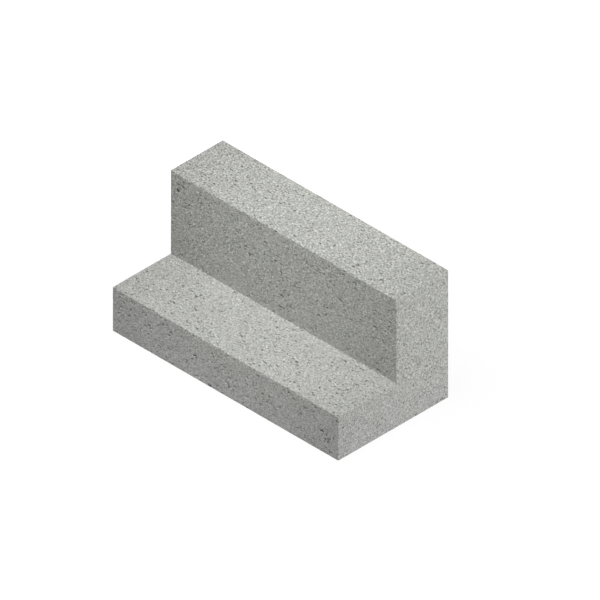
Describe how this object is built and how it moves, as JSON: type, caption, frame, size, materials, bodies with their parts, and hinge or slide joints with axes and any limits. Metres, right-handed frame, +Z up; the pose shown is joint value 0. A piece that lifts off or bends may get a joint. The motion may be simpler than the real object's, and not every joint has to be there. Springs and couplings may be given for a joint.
{
  "type": "solid concrete ledge block",
  "caption": "Solid L-shaped concrete masonry block: a base slab with a full-length upright along its back, leaving an open ledge that carries a brick course or slab edge.",
  "frame": {"origin": "middle of the bed face, at half the length and half the depth", "axes": "+X along the course, +Y from the ledge's nose to the back face, +Z up"},
  "size_m": [0.397, 0.194, 0.194],
  "materials": {
    "concrete": "dry-cast dense grey concrete, fine sandy grain with small open pits"
  },
  "bodies": {
    "root": {"ledge_block": "concrete"}
  },
  "joints": []
}
